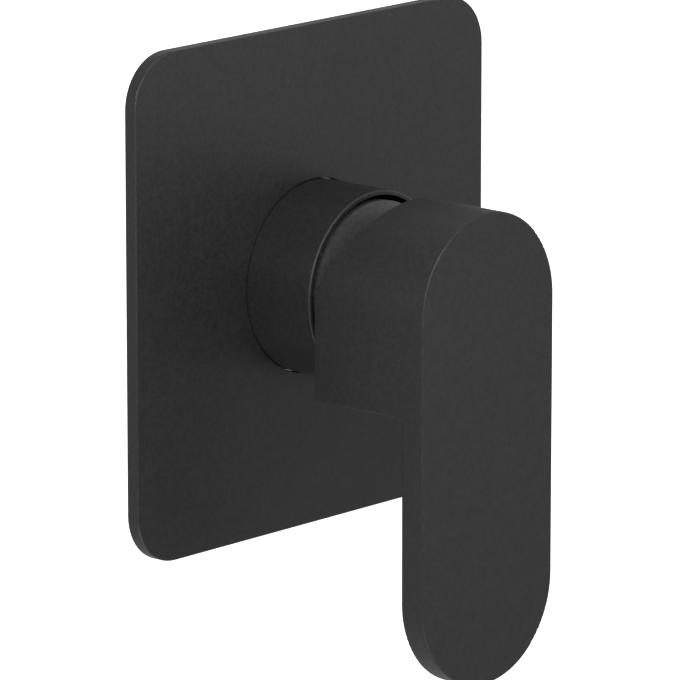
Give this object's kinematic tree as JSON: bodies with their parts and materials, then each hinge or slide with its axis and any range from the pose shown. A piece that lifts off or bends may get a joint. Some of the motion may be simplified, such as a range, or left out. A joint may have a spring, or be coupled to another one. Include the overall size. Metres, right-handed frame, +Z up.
{
  "type": "concealed shower mixer",
  "caption": "Single-lever shower mixer set in the wall: square plate, round sleeve, flat lever handle, ceramic cartridge and brass body with side inlets and an upper outlet.",
  "frame": {"origin": "centre of the four fixing holes, on the cartridge's axis, in the plane where the brass body meets the wall's rear face", "axes": "+X right as seen from the room, +Y into the wall, +Z up; the lever points down and the outer faces look along -Y"},
  "size_m": [0.12, 0.1058, 0.1493],
  "materials": {
    "matte_black": "matte",
    "black_plastic": "matte",
    "gasket_foam": "matte",
    "seal_rubber": "satin",
    "raw_brass": "satin",
    "steel": "satin",
    "disc_ceramic": "satin",
    "white_plastic": "satin",
    "grey_plastic": "satin",
    "red_plastic": "satin"
  },
  "bodies": {
    "root": {"wall_plate": "matte_black", "plate_gasket": "gasket_foam", "plate_o_ring": "seal_rubber", "sleeve": "matte_black", "neck_o_ring": "seal_rubber", "dome_cap": "matte_black", "cartridge_nut": "raw_brass", "cartridge_housing": "white_plastic", "cartridge_base": "grey_plastic", "base_seals": "seal_rubber", "disc_seals": "seal_rubber", "fixed_disc": "disc_ceramic", "limit_ring": "red_plastic", "mixer_body": "raw_brass", "outlet_plug": "raw_brass", "plug_seal": "seal_rubber"},
    "rotor": {"rotor": "white_plastic", "rotor_o_ring": "seal_rubber", "pivot_pin": "steel"},
    "disc": {"disc_carrier": "grey_plastic", "moving_disc": "disc_ceramic"},
    "lever": {"stem": "steel", "handle": "matte_black", "handle_screw": "steel", "screw_cover": "black_plastic"}
  },
  "joints": [
    {"name": "mix_turn", "type": "hinge", "parent": "root", "child": "rotor", "pos_m": [0, -0.063, 0], "axis": [0, -1, 0], "range_deg": [-45, 45]},
    {"name": "lever_lift", "type": "hinge", "parent": "rotor", "child": "lever", "pos_m": [0, -0.063, 0], "axis": [-1, 0, 0], "range_deg": [0, 22]},
    {"name": "disc_slide", "type": "slide", "parent": "rotor", "child": "disc", "axis": [0, 0, -1], "range_m": [0, 0.0042]}
  ],
  "couplings": [
    {"joint": "disc_slide", "follows": "lever_lift", "m_per_rad": 0.010537}
  ]
}
